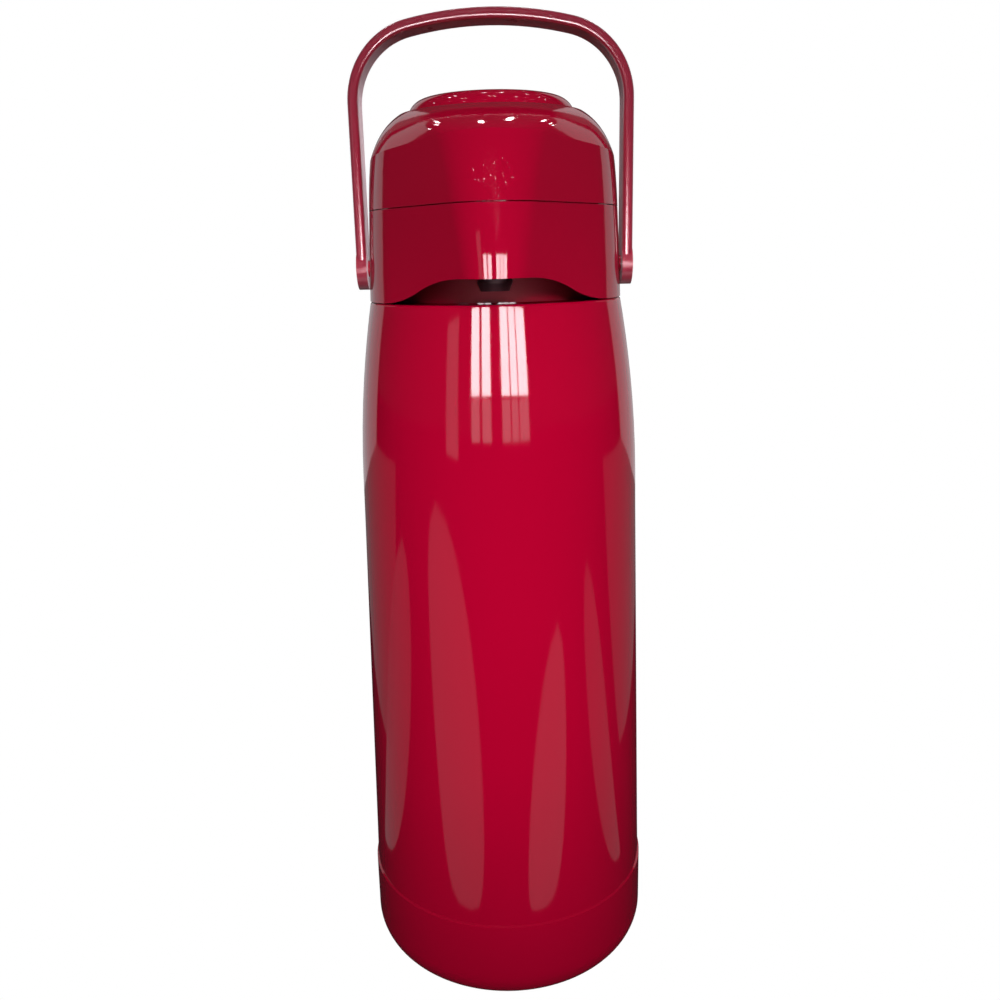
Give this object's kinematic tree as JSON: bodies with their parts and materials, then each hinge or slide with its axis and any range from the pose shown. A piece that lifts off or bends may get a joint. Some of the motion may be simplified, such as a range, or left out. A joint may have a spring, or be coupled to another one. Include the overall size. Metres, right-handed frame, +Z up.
{
  "type": "pump pot",
  "caption": "Tall red vacuum pump pot with a beaked head, a domed push button, a swinging strap handle and a glass flask inside.",
  "frame": {"origin": "centre of the flat foot, on the bottle's axis", "axes": "+Z up along the bottle, the beak towards -Y, the handle's pivot line along X"},
  "size_m": [0.1312, 0.1416, 0.4248],
  "materials": {
    "red_plastic": "glossy",
    "flask_glass": "silvered on the vacuum side",
    "grey_rubber": "matt",
    "white_plastic": "satin",
    "spring_steel": "bright",
    "dark_plastic": "satin"
  },
  "bodies": {
    "bottle": {"base_cup": "red_plastic", "bottle_shell": "red_plastic", "flask_outer_glass": "flask_glass", "flask_inner_glass": "flask_glass", "flask_cushion": "grey_rubber", "neck_gasket": "grey_rubber"},
    "head": {"collar": "red_plastic", "top_cover": "red_plastic", "cover_screws": "spring_steel", "mouth_seal": "grey_rubber", "dip_tube": "white_plastic", "tube_sleeve": "grey_rubber", "spout_pipe": "white_plastic", "spout_nozzle": "dark_plastic", "spout_undercover": "red_plastic", "bellows": "grey_rubber", "bellows_clamp": "white_plastic", "air_valve_flap": "grey_rubber", "return_spring": "spring_steel", "handle_pins": "red_plastic"},
    "button": {"press_plate": "white_plastic", "push_button": "red_plastic"},
    "handle": {"carry_handle": "red_plastic"}
  },
  "joints": [
    {"name": "head_lift", "type": "slide", "parent": "bottle", "child": "head", "axis": [0, 0, 1], "range_m": [0, 0.3]},
    {"name": "button_press", "type": "slide", "parent": "head", "child": "button", "axis": [0, 0, -1], "range_m": [0, 0.014], "stiffness_N_per_m": 500, "springref_m": -0.01, "deforming": ["bellows", "return_spring"]},
    {"name": "handle_swing", "type": "hinge", "parent": "head", "child": "handle", "pos_m": [0, 0, 0.3238], "axis": [1, 0, 0], "range_deg": [-130, 130]}
  ]
}
